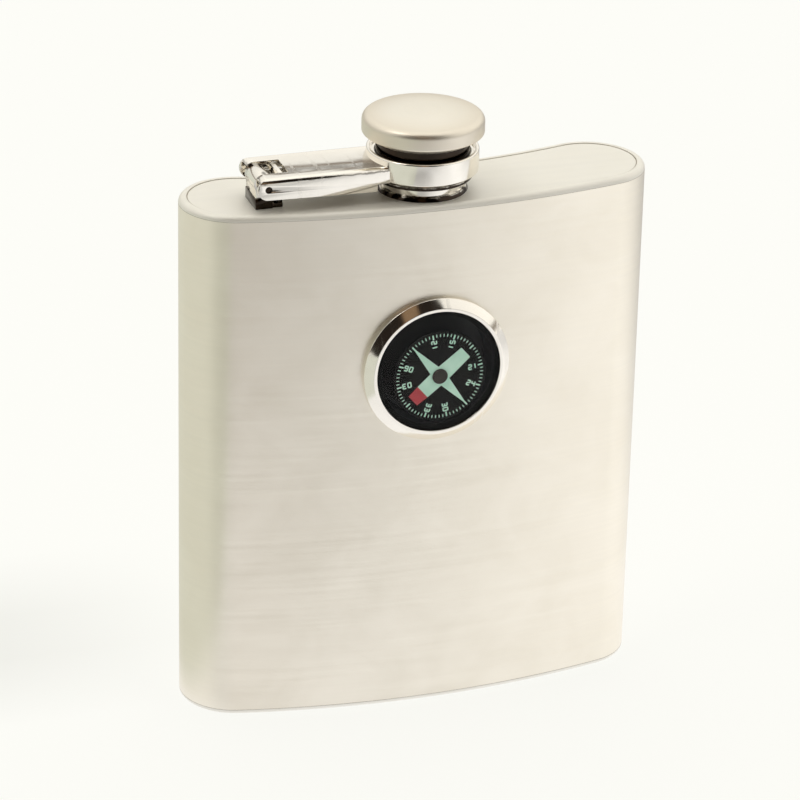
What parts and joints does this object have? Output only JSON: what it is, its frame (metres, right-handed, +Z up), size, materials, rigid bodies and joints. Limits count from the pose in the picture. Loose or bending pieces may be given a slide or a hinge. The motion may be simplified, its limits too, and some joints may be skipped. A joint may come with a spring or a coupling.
{
  "type": "hip flask",
  "caption": "Curved steel hip flask with a captive screw cap on a hinged arm and a button compass set into its convex front.",
  "frame": {"origin": "centre of the flat base under the neck's axis", "axes": "+Z up along the neck, -Y out of the convex front with the compass, +X to the right seen from the front, so the hinge is on -X"},
  "size_m": [0.095, 0.0286, 0.1238],
  "materials": {
    "brushed_sheet": "horizontally brushed stainless sheet",
    "satin_plate": "fine satin stainless",
    "satin_cap": "turned satin stainless",
    "polished_steel": "polished stainless",
    "clear_lens": "clear acrylic",
    "black_plastic": "gloss black",
    "black_seal": "black rubber",
    "card_black": "matte black",
    "glow_paint": "pale green luminous paint",
    "red_paint": "red paint",
    "hub_dark": "blackened brass",
    "pivot_brass": "turned brass",
    "magnet_dark": "plain magnet",
    "foam_pad": "adhesive foam",
    "liner_white": "soft white polyethylene"
  },
  "bodies": {
    "flask": {"body_sleeve": "brushed_sheet", "top_plate": "satin_plate", "bottom_plate": "satin_plate", "neck": "polished_steel", "neck_ring": "polished_steel", "neck_thread": "polished_steel", "hinge_bracket": "polished_steel", "compass_cup": "satin_plate", "compass_bezel": "polished_steel", "capsule_pad": "foam_pad", "compass_capsule": "black_plastic", "capsule_seal": "black_seal", "compass_lens": "clear_lens", "pivot_pin": "pivot_brass"},
    "arm": {"arm": "polished_steel", "collar": "polished_steel", "hinge_pin": "polished_steel"},
    "cap_riser": {"cap_liner": "liner_white"},
    "cap": {"cap_head": "satin_cap", "cap_sleeve": "polished_steel", "cap_thread": "polished_steel", "cap_lip_ring": "polished_steel"},
    "card": {"card_disc": "card_black", "card_star": "glow_paint", "card_north_tip": "red_paint", "card_hub": "hub_dark", "card_cup": "pivot_brass", "card_magnet": "magnet_dark"}
  },
  "joints": [
    {"name": "arm_swing", "type": "hinge", "parent": "flask", "child": "arm", "pos_m": [-0.033, 0, 0.1129], "axis": [0, -1, 0], "range_deg": [0, 180]},
    {"name": "cap_rise", "type": "slide", "parent": "arm", "child": "cap_riser", "axis": [0, 0, 1], "range_m": [0, 0.0036]},
    {"name": "cap_turn", "type": "hinge", "parent": "cap_riser", "child": "cap", "pos_m": [0, 0, 0.118], "axis": [0, 0, 1], "range_deg": [0, 720]},
    {"name": "card_turn", "type": "hinge", "parent": "flask", "child": "card", "pos_m": [0.0006, -0.0117, 0.0724], "axis": [0, -1, 0], "continuous": true}
  ],
  "couplings": [
    {"joint": "cap_rise", "follows": "cap_turn", "m_per_rad": 0.00028648}
  ]
}
